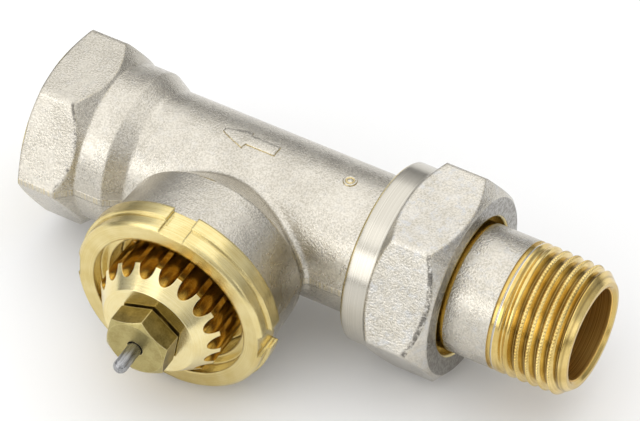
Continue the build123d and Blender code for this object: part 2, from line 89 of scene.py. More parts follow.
# Threads, in millimetres
PITCH = 1.814
THREAD_DEPTH = 1.16
ROOT_SHARE = 0.08
CREST_POWER = 1.25
SKIN_LIFT = 0.012
SLEEVE_SINK = 0.15
TAIL_END_X = 93.0
TAIL_END_INSET = 0.03
TAIL_ROOT = 9.06
TAIL_RIM = 8.6
TAIL_BACK_RADIUS = 8.3
TAIL_SLOPE = math.tan(math.radians(42))
TAIL_ROOT_X = TAIL_END_X - (TAIL_ROOT - TAIL_RIM) / TAIL_SLOPE
TAIL_TAPER = 1 / 32
TAIL_CREST_LIMIT = 10.42
TAIL_FADE = 2.6
TAIL_FADE_SHARE = 0.8
TAIL_ROWS = 110
TAIL_COLUMNS = 756
SERRATION_COUNT = 108
SERRATION_DEPTH = 0.27
SERRATION_SPAN = (84.6, 91.0)
SERRATION_FOOT = 0.86
PLAIN_COLUMNS = 180
PIPE_BORE = 10.48
PIPE_THREAD_START = 0.05
PIPE_THREAD_END = 12.6
PIPE_LEAD_IN = 1.3
PIPE_LEAD_OUT = 1.5
PIPE_ROWS = 84
SPIGOT_RADIUS = 12.7
SPIGOT_CREST = 0.24
SPIGOT_START_GAP = 0.05
SPIGOT_END_X = 67.2
SPIGOT_LEAD_IN = 1.2
SPIGOT_LEAD_OUT = 0.6
SPIGOT_ROWS = 60

# Colours, linear
NICKEL_LIGHT = (0.67, 0.632, 0.553, 1)
NICKEL_DARK = (0.42, 0.39, 0.328, 1)
NICKEL_COOL = (0.53, 0.54, 0.555, 1)
NICKEL_EDGE = (0.66, 0.56, 0.33, 1)
# Dark of the pits and specks, and also of the painted shade lines and the nut's painted-shade face
NICKEL_STAIN_AND_SHADE = (0.13, 0.12, 0.105, 1)
PATCH_LIGHT = (0.66, 0.645, 0.61, 1)
NUT_FACE_SHADE = (0.36, 0.352, 0.335, 1)
COLLAR_LIGHT = (0.68, 0.65, 0.575, 1)
BRASS_PALE = (0.80, 0.69, 0.36, 1)
BRASS_DEEP = (0.62, 0.48, 0.18, 1)
BRASS_STAIN = (0.36, 0.23, 0.06, 1)
BRASS_EDGE = (0.92, 0.82, 0.52, 1)
TAIL_AMBER = (0.60, 0.41, 0.12, 1)
THREAD_LIGHT = (0.87, 0.69, 0.30, 1)
THREAD_DARK = (0.52, 0.35, 0.09, 1)
THREAD_ROOT_SHADE = (0.15, 0.085, 0.02, 1)
GLAND_LIGHT = (0.46, 0.39, 0.165, 1)
GLAND_DARK = (0.33, 0.265, 0.095, 1)
GLAND_EDGE_HIGHLIGHT = (0.82, 0.70, 0.36, 1)
DRAWN_SHADED_LIGHT = (0.27, 0.205, 0.065, 1)
DRAWN_SHADED_DARK = (0.12, 0.088, 0.025, 1)
CONE_PALE = (0.89, 0.79, 0.46, 1)
CONE_DEEP = (0.77, 0.63, 0.29, 1)
SPLINE_PALE = (0.72, 0.52, 0.18, 1)
SPLINE_DEEP = (0.52, 0.33, 0.08, 1)
BORE_LIGHT = (0.90, 0.64, 0.22, 1)
BORE_DARK = (0.56, 0.34, 0.08, 1)
STEEL_LIGHT = (0.42, 0.42, 0.42, 1)
STEEL_DARK = (0.25, 0.25, 0.255, 1)
RUBBER_DARK = (0.025, 0.025, 0.025, 1)
RUBBER_LIGHT = (0.05, 0.05, 0.048, 1)
FLOOR_COLOUR = (0.93, 0.93, 0.93, 1)

# Noises: scale per millimetre, detail and roughness
GRAIN = (3.4, 2.0, 0.6)
DENT = (0.55, 2.0, 0.5)
BREAK_STRETCH = (0.3, 2.0, 0.5)
BREAK_SIDE = (2.4, 4.0, 0.75)
BRASS_CLOUD = (0.22, 4.0, 0.6)
GLAND_SCRATCH = (3.2, 3.0, 0.7)
GLAND_CLOUD = (0.5, 4.0, 0.6)
STEEL_STREAK = (1.0, 3.0, 0.6)
RUBBER_GRAIN = (4.0, 3.0, 0.6)

# Blotches: their noise, then the levels of it at which they start and are full
CLOUD = (0.16, 4.0, 0.6, 0.3, 0.7)
COOL = (0.8, 4.0, 0.65, 0.48, 0.72)
FLECK = (1.1, 5.0, 0.7, 0.42, 0.60)
PIT = (1.7, 2.0, 0.5, 0.69, 0.75)
SPECK = (4.2, 2.0, 0.6, 0.53, 0.63)
SPECK_PATCH = (0.11, 3.0, 0.55, 0.54, 0.66)
NECK_BREAK = (0.25, 3.0, 0.6, 0.42, 0.6)
NUT_PATCH = (0.42, 5.0, 0.7, 0.40, 0.66)
NUT_SPECK = (2.2, 3.0, 0.6, 0.42, 0.60)
BRASS_MARK = (0.9, 5.0, 0.65, 0.64, 0.74)

# Lines: scale per millimetre and detail
TURNING = (7.0, 4.0)
TURNING_LEAN = 0.83
SHEARING = (2.4, 3.0)

# Edges: radius in millimetres, then the bends at which the edge colour starts and is full: worn plating on
# the nickel, a painted highlight on the gland
FORGED_EDGES = (0.55, 0.02, 0.2)
NUT_EDGES = (0.7, 0.02, 0.25)
TAIL_EDGES = (0.2, 0.02, 0.25)
TURNED_EDGES = (0.18, 0.03, 0.3)
GLAND_EDGES = (0.28, 0.008, 0.085)
RELIEF_EDGES = (0.15, 0.02, 0.2)
BEVEL_SAMPLES = 6

# Heights, in millimetres, and roughness
GRAIN_HEIGHT = 0.075
PARTING_HEIGHT = 0.06
SHEAR_HEIGHT = 0.05
TURNED_HEIGHT = 0.006
COLLAR_HEIGHT = 0.008
SCRATCH_HEIGHT = 0.012
STREAK_HEIGHT = 0.01
RUBBER_HEIGHT = 0.02
FORGED_SMOOTHEST = 0.22
NUT_SMOOTHEST = 0.18
NICKEL_ROUGHNESS_SPAN = 0.08
BORE_ROUGHNESS = 0.36
BRASS_ROUGHNESS = (0.14, 0.27)
COLLAR_ROUGHNESS = (0.16, 0.30)
GLAND_ROUGHNESS = (0.28, 0.46)
STEEL_ROUGHNESS = (0.24, 0.36)
RUBBER_ROUGHNESS = (0.5, 0.7)

# How strongly marks show, and how much a noise adds to a tone
GRAIN_SHARE = 0.55
WORN_SHARE = 0.75
PIT_SHARE = 0.45
SPECK_SHARE = 0.55
SHEAR_SHARE = 0.55
NECK_SEAM_SHARE = 0.6
HEX_SHADE_LINE_SHARE = 0.9
NUT_SHADE_LINE_SHARE = 0.92
NUT_PATCH_SHARE = 0.4
NUT_FACE_SHADE_SHARE = 0.8
BREAK_SIDE_SHARE = 0.9
BRASS_LINE_SHARE = 0.5
BRASS_CLOUD_SHARE = 0.6
BRASS_MARK_SHARE = 0.35
TURNED_EDGE_SHARE = 0.5
ROOT_SHADE_SHARE = 0.75
GLAND_SCRATCH_SHARE = 0.4
GLAND_CLOUD_SHARE = 0.6
GLAND_HIGHLIGHT_SHARE = 0.8
RELIEF_BRASS_SHARE = 0.7
STREAK_STRETCH = (5.0, 0.35, 5.0)

# Ramps: where a tone, or the lean of a face, starts to count and where it counts in full
GRAIN_RAMP = (0.36, 0.62)
BREAK_RAMP = (0.84, 1.04)
SHEAR_RAMP = (0.45, 0.62)
BRASS_RAMP = (0.32, 0.78)
BORE_RAMP = (0.35, 0.65)
GLAND_RAMP = (0.32, 0.68)
STEEL_RAMP = (0.3, 0.7)
ROOT_RAMP = (0.38, 0.05)
FLAT_LEAN = (0.45, 0.25)
NUT_FACE_LEAN = (0.9, 0.97)
CONE_LEAN = (-0.3, -0.5)
GLAND_FACE_LEAN = (-0.25, -0.4)

# Steps, in millimetres, over which one finish gives way to another
SOFT_STEP = 0.1
SHARP_STEP = 0.05
PARTING_STEP = 0.2
FLAT_MARGIN = (0.1, 0.3)


class Graph:
    """A material's node tree, with short ways to add nodes to it."""

    def __init__(self, name):
        self.material = bpy.data.materials.new(name)
        self.material.use_nodes = True
        self.tree = self.material.node_tree
        self.tree.nodes.clear()

    def put(self, socket, value):
        if isinstance(value, bpy.types.NodeSocket):
            self.tree.links.new(value, socket)
        else:
            socket.default_value = value

    def node(self, kind, settings=None, inputs=None):
        made = self.tree.nodes.new(kind)
        for key, value in (settings or {}).items():
            setattr(made, key, value)
        for key, value in (inputs or {}).items():
            self.put(made.inputs[key], value)
        return made

    def math(self, operation, *values):
        return self.node("ShaderNodeMath", {"operation": operation}, dict(enumerate(values))).outputs[0]

    def mix_colour(self, share, low, high):
        made = self.node("ShaderNodeMix", {"data_type": "RGBA"}, {0: share, 6: low, 7: high})
        return made.outputs[2]

    def mix_value(self, share, low, high):
        made = self.node("ShaderNodeMix", {"data_type": "FLOAT"}, {0: share, 2: low, 3: high})
        return made.outputs[0]

    def rise(self, value, low, high):
        """0 below low and 1 above high, or the other way round where low is the larger."""
        made = self.node("ShaderNodeMapRange", {"interpolation_type": "SMOOTHSTEP"},
                         {"Value": value, "From Min": low, "From Max": high})
        return made.outputs[0]

    def near(self, value, place, far, close):
        """1 where value is less than close from place, and 0 where it is more than far."""
        return self.rise(self.math("ABSOLUTE", self.math("SUBTRACT", value, place)), far, close)

    def under(self, value, limit, step):
        """1 from one step below limit on down, and 0 above limit."""
        return self.rise(value, limit, limit - step)

    def over(self, value, limit, step):
        """1 from limit on up, and 0 from one step below it on down."""
        return self.rise(value, limit - step, limit)

    def both(self, first, second):
        return self.math("MULTIPLY", first, second)

    def either(self, first, second):
        return self.math("MAXIMUM", first, second)

    def tint(self, colour, mask, share, tone):
        """The colour, going towards tone by share where mask is 1."""
        return self.mix_colour(self.both(mask, share), colour, tone)

    def noise(self, vector, scale, detail, roughness):
        made = self.node("ShaderNodeTexNoise", {"noise_dimensions": "3D"},
                         {"Vector": vector, "Scale": scale, "Detail": detail, "Roughness": roughness})
        return made.outputs[0]

    def line_noise(self, place, scale, detail):
        made = self.node("ShaderNodeTexNoise", {"noise_dimensions": "1D"},
                         {"W": place, "Scale": scale, "Detail": detail})
        return made.outputs[0]


class Surface:
    """Where a point lies in the part's frame, in millimetres, and how far it is from its two axes."""

    def __init__(self, graph):
        self.graph = graph
        coordinates = graph.node("ShaderNodeTexCoord")
        scaled = graph.node("ShaderNodeVectorMath", {"operation": "SCALE"},
                            {0: coordinates.outputs["Object"], "Scale": 1 / MM})
        self.place = scaled.outputs[0]
        parts = graph.node("ShaderNodeSeparateXYZ", inputs={0: self.place})
        self.x, self.y, self.z = parts.outputs
        normals = graph.node("ShaderNodeSeparateXYZ", inputs={0: coordinates.outputs["Normal"]})
        self.normal_x, self.normal_y = normals.outputs[0], normals.outputs[1]
        from_spindle = graph.math("SUBTRACT", self.x, SPINDLE_X)
        self.pipe_radius = self.length(self.y, self.z)
        self.spindle_radius = self.length(from_spindle, self.z)

    def length(self, first, second):
        graph = self.graph
        squares = graph.math("ADD", graph.math("POWER", first, 2.0), graph.math("POWER", second, 2.0))
        return graph.math("SQRT", squares)

    def noise(self, scale, detail, roughness):
        return self.graph.noise(self.place, scale, detail, roughness)

    def blotches(self, scale, detail, roughness, low, high):
        return self.graph.rise(self.noise(scale, detail, roughness), low, high)

    def cone(self, x, radius, slope):
        """Radius of a cone round the pipe axis that has the given radius at x and narrows from there."""
        graph = self.graph
        return graph.math("MULTIPLY_ADD", graph.math("SUBTRACT", x, self.x), slope, radius)

    def edges(self, radius, low, high):
        """Rounded normal near sharp edges, and a mask that is 1 along them."""
        graph = self.graph
        rounded = graph.node("ShaderNodeBevel", {"samples": BEVEL_SAMPLES}, {"Radius": radius * MM})
        geometry = graph.node("ShaderNodeNewGeometry")
        agree = graph.node("ShaderNodeVectorMath", {"operation": "DOT_PRODUCT"},
                           {0: rounded.outputs[0], 1: geometry.outputs["Normal"]})
        bend = graph.math("SUBTRACT", 1.0, agree.outputs["Value"])
        return rounded.outputs[0], graph.rise(bend, low, high)

    def broken_up(self):
        """Broken stretches with ragged, speckled sides."""
        graph = self.graph
        ragged = graph.math("MULTIPLY_ADD", self.noise(*BREAK_SIDE), BREAK_SIDE_SHARE, self.noise(*BREAK_STRETCH))
        return graph.rise(ragged, *BREAK_RAMP)

    def front_flat(self, corner_radius, turn):
        """1 on the flat of a pipe-axis hexagon that lies between the top and the pin's side."""
        graph = self.graph
        high = corner_radius * math.cos(math.radians(30 + turn))
        low = corner_radius * math.cos(math.radians(90 + turn))
        outside, inside = FLAT_MARGIN
        above = graph.rise(self.z, low - outside, low + inside)
        below = graph.rise(self.z, high + outside, high - inside)
        return graph.both(graph.both(above, below), graph.rise(self.y, 0.0, -1.0))

    def turned(self, radius, along):
        """Fine lines left by a turning tool, about an axis."""
        path = self.graph.math("MULTIPLY_ADD", along, TURNING_LEAN, radius)
        return self.graph.line_noise(path, *TURNING)

    def turned_on_pipe(self):
        return self.turned(self.pipe_radius, self.x)

    def turned_on_spindle(self):
        return self.turned(self.spindle_radius, self.y)


def shade(graph, colour, roughness, height, normal=None, metallic=1.0):
    """Ends a material: height is in millimetres."""
    bump = graph.node("ShaderNodeBump", inputs={"Strength": 1.0, "Distance": MM, "Height": height})
    if normal is not None:
        graph.put(bump.inputs["Normal"], normal)
    shader = graph.node("ShaderNodeBsdfPrincipled",
                        inputs={"Base Color": colour, "Metallic": metallic, "Roughness": roughness,
                                "Normal": bump.outputs[0]})
    output = graph.node("ShaderNodeOutputMaterial", inputs={"Surface": shader.outputs[0]})
    output.target = "ALL"
    return graph.material


def nickel(graph, surface, edge_mask, coarse, cool_share, smoothest, speck_share):
    """Colour, roughness and height of blasted, nickel-plated brass."""
    grain = surface.noise(*GRAIN)
    cloud = surface.blotches(*CLOUD)
    clouded = graph.both(cloud, 1 - GRAIN_SHARE)
    tone = graph.math("MULTIPLY_ADD", graph.rise(grain, *GRAIN_RAMP), GRAIN_SHARE, clouded)
    colour = graph.mix_colour(tone, NICKEL_DARK, NICKEL_LIGHT)
    colour = graph.tint(colour, surface.blotches(*COOL), cool_share, NICKEL_COOL)
    worn = graph.both(edge_mask, surface.blotches(*FLECK))
    colour = graph.tint(colour, worn, WORN_SHARE, NICKEL_EDGE)
    colour = graph.tint(colour, surface.blotches(*PIT), PIT_SHARE, NICKEL_STAIN_AND_SHADE)
    speck = graph.both(surface.blotches(*SPECK), surface.blotches(*SPECK_PATCH))
    colour = graph.tint(colour, speck, speck_share, NICKEL_STAIN_AND_SHADE)
    roughness = graph.mix_value(cloud, smoothest, smoothest + NICKEL_ROUGHNESS_SPAN)
    dents = graph.both(surface.noise(*DENT), coarse)
    height = graph.math("MULTIPLY_ADD", grain, GRAIN_HEIGHT, dents)
    return colour, roughness, height


def brass(graph, surface, lines, light, dark):
    """Colour, roughness and height of bare turned brass."""
    cloud = graph.both(surface.noise(*BRASS_CLOUD), BRASS_CLOUD_SHARE)
    tone = graph.rise(graph.math("MULTIPLY_ADD", lines, BRASS_LINE_SHARE, cloud), *BRASS_RAMP)
    colour = graph.mix_colour(tone, dark, light)
    colour = graph.tint(colour, surface.blotches(*BRASS_MARK), BRASS_MARK_SHARE, BRASS_STAIN)
    return colour, graph.mix_value(lines, *BRASS_ROUGHNESS), graph.both(lines, TURNED_HEIGHT)


def blend_finish(graph, share, low, high):
    """Goes from one finish to another: each is colour, roughness and height."""
    return (graph.mix_colour(share, low[0], high[0]), graph.mix_value(share, low[1], high[1]),
            graph.mix_value(share, low[2], high[2]))


def hexagon_shade_line(graph, surface):
    """Painted shade: a dark, broken line where the hexagon's rear cone cuts its front flat."""
    rear_cone = surface.cone(HEX_EDGE_X, HEX_CORNER_RADIUS, HEX_BACK_SLOPE)
    line = graph.near(surface.pipe_radius, rear_cone, 0.7, 0.3)
    off_collar = graph.rise(surface.pipe_radius, HEX_FLAT_RADIUS - 0.08, HEX_FLAT_RADIUS - 0.02)
    on_flat = graph.both(graph.rise(surface.normal_x, *FLAT_LEAN), off_collar)
    on_flat = graph.both(on_flat, surface.front_flat(HEX_CORNER_RADIUS, 0))
    return graph.both(graph.both(line, on_flat), surface.broken_up())


def neck_seam(graph, surface):
    """Broken brass line round the neck, where it meets its shoulder."""
    line = graph.near(surface.y, NECK_LINE_Y, 0.32, 0.05)
    on_neck = graph.rise(surface.spindle_radius, NECK_RADIUS + 0.6, NECK_RADIUS + 0.4)
    return graph.both(graph.both(line, on_neck), surface.blotches(*NECK_BREAK))


def forging_material():
    """Blasted nickel with a sheared parting line, bare where it is turned."""
    graph = Graph("nickel_forging")
    surface = Surface(graph)
    normal, edge_mask = surface.edges(*FORGED_EDGES)
    past_hexagon = graph.rise(surface.x, HEX_EDGE_X + 2.5, HEX_EDGE_X + 4.5)
    colour, roughness, height = nickel(graph, surface, edge_mask, coarse=0.05, cool_share=0.15,
                                       smoothest=FORGED_SMOOTHEST,
                                       speck_share=graph.both(past_hexagon, SPECK_SHARE))
    in_band = graph.under(graph.math("ABSOLUTE", surface.z), PARTING_HALF_HEIGHT, PARTING_STEP)
    shear = graph.line_noise(graph.math("ADD", surface.x, surface.y), *SHEARING)
    sheared = graph.both(in_band, graph.rise(shear, *SHEAR_RAMP))
    colour = graph.tint(colour, sheared, SHEAR_SHARE, NICKEL_EDGE)
    colour = graph.tint(colour, neck_seam(graph, surface), NECK_SEAM_SHARE, BRASS_DEEP)
    # Painted shade: a dark broken line across the hexagon's front flat
    colour = graph.tint(colour, hexagon_shade_line(graph, surface), HEX_SHADE_LINE_SHARE, NICKEL_STAIN_AND_SHADE)
    ridge = graph.math("MULTIPLY_ADD", shear, SHEAR_HEIGHT, PARTING_HEIGHT)
    height = graph.math("ADD", height, graph.both(in_band, ridge))
    cut_ring = brass(graph, surface, surface.turned_on_spindle(), BRASS_PALE, BRASS_DEEP)
    cut_pipe = brass(graph, surface, surface.turned_on_pipe(), BRASS_PALE, BRASS_DEEP)
    insert_end = RING_BACK_Y + INSERT_DEPTH
    at_ring = graph.rise(surface.y, RING_BACK_Y + 0.06, RING_BACK_Y - 0.02)
    in_insert = graph.both(graph.under(surface.spindle_radius, INSERT_RADIUS, SOFT_STEP),
                           graph.rise(surface.y, insert_end + 0.5, insert_end))
    in_pipe = graph.under(surface.pipe_radius, WATERWAY_RADIUS, SOFT_STEP)
    at_mouth = graph.under(surface.x, MOUTH_FACE_X, SOFT_STEP)
    at_spigot = graph.over(surface.x, SPIGOT_X, SOFT_STEP)
    finish = blend_finish(graph, graph.either(at_ring, in_insert), (colour, roughness, height), cut_ring)
    bare_pipe = graph.either(graph.either(in_pipe, at_mouth), at_spigot)
    return shade(graph, *blend_finish(graph, bare_pipe, finish, cut_pipe), normal)


def nut_material():
    """Patchy nickel on the flats with painted shade on its front face and along its front bevel, a turned
    collar, and bare brass where a tool has cut.
    """
    graph = Graph("nickel_nut")
    surface = Surface(graph)
    normal, edge_mask = surface.edges(*NUT_EDGES)
    colour, roughness, height = nickel(graph, surface, edge_mask, coarse=0.04, cool_share=0.7,
                                       smoothest=NUT_SMOOTHEST, speck_share=0.35)
    colour = graph.tint(colour, surface.blotches(*NUT_PATCH), NUT_PATCH_SHARE, PATCH_LIGHT)
    front_cone = surface.cone(NUT_FACE_X, NUT_FACE_RADIUS, NUT_FRONT_SLOPE)
    on_flat = graph.both(graph.rise(surface.normal_x, *FLAT_LEAN),
                         surface.front_flat(NUT_CORNER_RADIUS, NUT_TURN))
    # Painted shade: a dark broken line where the nut's front bevel meets its front flats
    shade_line = graph.both(graph.near(surface.pipe_radius, front_cone, 1.25, 0.7), on_flat)
    colour = graph.tint(colour, graph.both(shade_line, surface.broken_up()), NUT_SHADE_LINE_SHARE, NICKEL_STAIN_AND_SHADE)
    # Painted shade: the nut's front face is darkened to a speckled grey
    on_face = graph.both(graph.rise(surface.normal_x, *NUT_FACE_LEAN),
                         graph.rise(surface.x, NUT_FACE_X - 0.2, NUT_FACE_X - 0.1))
    face_shade = graph.mix_colour(surface.blotches(*NUT_SPECK), NICKEL_STAIN_AND_SHADE, NUT_FACE_SHADE)
    colour = graph.tint(colour, on_face, NUT_FACE_SHADE_SHARE, face_shade)
    lines = surface.turned_on_pipe()
    turned = (graph.mix_colour(lines, NICKEL_DARK, COLLAR_LIGHT), graph.mix_value(lines, *COLLAR_ROUGHNESS),
              graph.both(lines, COLLAR_HEIGHT))
    on_collar = graph.rise(surface.x, NUT_COLLAR_END_X + SHARP_STEP, NUT_COLLAR_END_X - SHARP_STEP)
    finish = blend_finish(graph, on_collar, (colour, roughness, height), turned)
    hole_edge = graph.both(graph.rise(surface.pipe_radius, NUT_HOLE_RADIUS + 0.36, NUT_HOLE_RADIUS + 0.24),
                           graph.rise(surface.x, NUT_FACE_X - 1.0, NUT_FACE_X - 0.9))
    rear_edge = graph.rise(surface.x, NUT_REAR_X + 0.42, NUT_REAR_X + 0.3)
    in_bore = graph.both(graph.under(surface.pipe_radius, NUT_BORE_RADIUS, SHARP_STEP),
                         graph.rise(surface.x, NUT_FACE_X - 0.6, NUT_FACE_X - 0.7))
    bare = brass(graph, surface, lines, BRASS_PALE, BRASS_DEEP)
    is_bare = graph.either(graph.either(hole_edge, rear_edge), in_bore)
    return shade(graph, *blend_finish(graph, is_bare, finish, bare), normal)


def tail_material():
    """Nickel on the shank and on the land before the thread, bare brass elsewhere."""
    graph = Graph("tail_brass")
    surface = Surface(graph)
    normal, edge_mask = surface.edges(*TAIL_EDGES)
    on_shank = graph.rise(surface.x, TAIL_GROOVE_X + SOFT_STEP, TAIL_GROOVE_X)
    plated = nickel(graph, surface, graph.both(edge_mask, on_shank), coarse=0.02, cool_share=0.4,
                    smoothest=FORGED_SMOOTHEST, speck_share=0.0)
    lines = surface.turned_on_pipe()
    bare = brass(graph, surface, lines, BRASS_DEEP, TAIL_AMBER)
    past_groove = graph.rise(surface.x, TAIL_GROOVE_X - 0.06, TAIL_GROOVE_X)
    on_land = graph.both(graph.over(surface.x, TAIL_LAND_X, SHARP_STEP),
                         graph.under(surface.x, TAIL_THREAD_X, SHARP_STEP))
    in_bore = graph.under(surface.pipe_radius, TAIL_BORE_RADIUS, SHARP_STEP)
    in_joint = graph.under(surface.x, TAIL_BARE_X, SHARP_STEP)
    thread = graph.both(past_groove, graph.math("SUBTRACT", 1.0, on_land))
    is_bare = graph.either(graph.either(thread, in_bore), in_joint)
    colour, roughness, height = blend_finish(graph, is_bare, plated, bare)
    roughness = graph.mix_value(in_bore, roughness, BORE_ROUGHNESS)
    bore_colour = graph.mix_colour(graph.rise(lines, *BORE_RAMP), BORE_DARK, BORE_LIGHT)
    return shade(graph, graph.mix_colour(in_bore, colour, bore_colour), roughness, height, normal)


def bonnet_material():
    """Pale where the cone is faced, amber in the milled splines."""
    graph = Graph("turned_brass")
    surface = Surface(graph)
    normal, edge_mask = surface.edges(*TURNED_EDGES)
    lines = surface.turned_on_spindle()
    faced = brass(graph, surface, lines, CONE_PALE, CONE_DEEP)
    milled = brass(graph, surface, lines, SPLINE_PALE, SPLINE_DEEP)
    is_faced = graph.rise(surface.normal_y, *CONE_LEAN)
    colour, roughness, height = blend_finish(graph, is_faced, milled, faced)
    colour = graph.tint(colour, edge_mask, TURNED_EDGE_SHARE, BRASS_EDGE)
    return shade(graph, colour, roughness, height, normal)


def thread_material():
    """Bare brass with painted shade darkening the thread's roots, with nickel left on the first edge."""
    graph = Graph("thread_brass")
    surface = Surface(graph)
    normal, edge_mask = surface.edges(*TURNED_EDGES)
    colour, roughness, height = brass(graph, surface, surface.turned_on_pipe(), THREAD_LIGHT, THREAD_DARK)
    # Painted shade: the thread's roots are darkened towards a dark brown
    root = surface.cone(TAIL_ROOT_X, TAIL_ROOT, TAIL_TAPER)
    rise = graph.math("DIVIDE", graph.math("SUBTRACT", surface.pipe_radius, root), THREAD_DEPTH)
    before_end = graph.rise(surface.x, TAIL_ROOT_X, TAIL_ROOT_X - 0.3)
    root_shade = graph.both(graph.rise(rise, *ROOT_RAMP), before_end)
    colour = graph.tint(colour, root_shade, ROOT_SHADE_SHARE, THREAD_ROOT_SHADE)
    colour = graph.tint(colour, edge_mask, TURNED_EDGE_SHARE, BRASS_EDGE)
    first_edge = graph.rise(surface.x, TAIL_THREAD_X + 0.2, TAIL_THREAD_X + 0.14)
    colour = graph.mix_colour(first_edge, colour, COLLAR_LIGHT)
    return shade(graph, colour, roughness, height, normal)


def pipe_material():
    """Bare turned brass of the threads in the pipe end and on the spigot."""
    graph = Graph("pipe_brass")
    surface = Surface(graph)
    normal, edge_mask = surface.edges(*TURNED_EDGES)
    colour, roughness, height = brass(graph, surface, surface.turned_on_pipe(), BRASS_PALE, BRASS_DEEP)
    colour = graph.tint(colour, edge_mask, TURNED_EDGE_SHARE, BRASS_EDGE)
    return shade(graph, colour, roughness, height, normal)


def gland_material():
    """Dull brass: a faced front, drawn flats that are also darkened with painted shade, and edges with a
    painted highlight.
    """
    graph = Graph("gland_brass")
    surface = Surface(graph)
    normal, edge_mask = surface.edges(*GLAND_EDGES)
    scratch = surface.noise(*GLAND_SCRATCH)
    cloud = graph.both(surface.noise(*GLAND_CLOUD), GLAND_CLOUD_SHARE)
    tone = graph.rise(graph.math("MULTIPLY_ADD", scratch, GLAND_SCRATCH_SHARE, cloud), *GLAND_RAMP)
    # Partly painted shade: the flats carry their duller drawn finish and are darkened beyond it
    drawn_and_shaded = graph.mix_colour(tone, DRAWN_SHADED_DARK, DRAWN_SHADED_LIGHT)
    faced = graph.mix_colour(tone, GLAND_DARK, GLAND_LIGHT)
    colour = graph.mix_colour(graph.rise(surface.normal_y, *GLAND_FACE_LEAN), drawn_and_shaded, faced)
    # Painted highlight: pale gold lines along the gland nut's edges
    colour = graph.tint(colour, edge_mask, GLAND_HIGHLIGHT_SHARE, GLAND_EDGE_HIGHLIGHT)
    lines = graph.both(surface.turned_on_spindle(), TURNED_HEIGHT)
    height = graph.math("MULTIPLY_ADD", scratch, SCRATCH_HEIGHT, lines)
    return shade(graph, colour, graph.mix_value(scratch, *GLAND_ROUGHNESS), height, normal)


def steel_material():
    """Ground steel with streaks along the pin."""
    graph = Graph("pin_steel")
    surface = Surface(graph)
    stretched = graph.node("ShaderNodeMapping", inputs={"Vector": surface.place, "Scale": STREAK_STRETCH})
    streak = graph.noise(stretched.outputs[0], *STEEL_STREAK)
    tone = graph.rise(streak, *STEEL_RAMP)
    colour = graph.mix_colour(tone, STEEL_DARK, STEEL_LIGHT)
    roughness = graph.mix_value(tone, *STEEL_ROUGHNESS)
    return shade(graph, colour, roughness, graph.both(streak, STREAK_HEIGHT))


def rubber_material():
    """Matt black rubber of the seals and of the valve's disc."""
    graph = Graph("seal_rubber")
    surface = Surface(graph)
    grain = surface.noise(*RUBBER_GRAIN)
    colour = graph.mix_colour(grain, RUBBER_DARK, RUBBER_LIGHT)
    roughness = graph.mix_value(grain, *RUBBER_ROUGHNESS)
    return shade(graph, colour, roughness, graph.both(grain, RUBBER_HEIGHT), metallic=0.0)


def relief_material():
    """Nickel that shows brass along the steep sides of what is cast proud of the barrel."""
    graph = Graph("nickel_relief")
    surface = Surface(graph)
    normal, edge_mask = surface.edges(*RELIEF_EDGES)
    colour, roughness, height = nickel(graph, surface, edge_mask, coarse=0.03, cool_share=0.15,
                                       smoothest=FORGED_SMOOTHEST, speck_share=0.5)
    low = graph.rise(surface.pipe_radius, BARREL_RADIUS + 0.2, BARREL_RADIUS + 0.1)
    colour = graph.tint(colour, low, RELIEF_BRASS_SHARE, BRASS_DEEP)
    return shade(graph, colour, roughness, height, normal)


MATERIALS = {
    "nickel_forging": forging_material(),
    "nickel_nut": nut_material(),
    "tail_brass": tail_material(),
    "turned_brass": bonnet_material(),
    "gland_brass": gland_material(),
    "pin_steel": steel_material(),
    "seal_rubber": rubber_material(),
}

for part in frame["record"]["subparts"]:
    node = frame["nodes"][part["node"]]
    node.data.materials.clear()
    node.data.materials.append(MATERIALS[part["material_slot"]])


# Pieces that the solids leave to this script: threads, a spring, and marks cast on the barrel
def in_metres(point):
    return tuple(value * MM for value in point)


def add_piece(name, points, faces, material, body):
    """Smooth piece from points in millimetres, riding on a body."""
    mesh = bpy.data.meshes.new(name)
    mesh.from_pydata([in_metres(point) for point in points], [], faces)
    mesh.validate()
    edit = bmesh.new()
    edit.from_mesh(mesh)
    bmesh.ops.recalc_face_normals(edit, faces=edit.faces)
    edit.to_mesh(mesh)
    edit.free()
    mesh.materials.append(material)
    mesh.shade_smooth()
    piece = bpy.data.objects.new(name, mesh)
    bpy.context.scene.collection.objects.link(piece)
    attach(piece, body)
    return piece


def ring_faces(here, there, count):
    """Quads between two rings of count points, which start at here and there."""
    faces = []
    for number in range(count):
        after = (number + 1) % count
        faces.append((here + number, there + number, there + after, here + after))
    return faces


def whitworth(place):
    """Height of a rounded thread, 0 at its root and 1 at its crest; place counts turns."""
    ramp = 1 - abs(2 * (place % 1.0) - 1)
    share = min(1.0, max(0.0, (ramp - ROOT_SHARE) / (1 - ROOT_SHARE)))
    return math.sin(math.pi / 2 * share) ** CREST_POWER


def smooth_share(value, low, high):
    share = min(1.0, max(0.0, (value - low) / (high - low)))
    return share * share * (3 - 2 * share)


def thread_sleeve(name, span, rows, columns, radius_at, back_radius, material, body):
    """Threaded skin round the pipe axis, closed behind by a plain wall that lies in the solid."""
    start, end = span
    count = rows + 3
    points = []
    for number in range(columns):
        angle = TURN * number / columns
        loop = []
        for row in range(rows + 1):
            x = start + (end - start) * row / rows
            loop.append((x, radius_at(x, angle)))
        loop += [(end, back_radius), (start, back_radius)]
        points += [(x, r * math.cos(angle), r * math.sin(angle)) for x, r in loop]
    faces = []
    for number in range(columns):
        faces += ring_faces(number * count, (number + 1) % columns * count, count)
    return add_piece(name, points, faces, material, body)


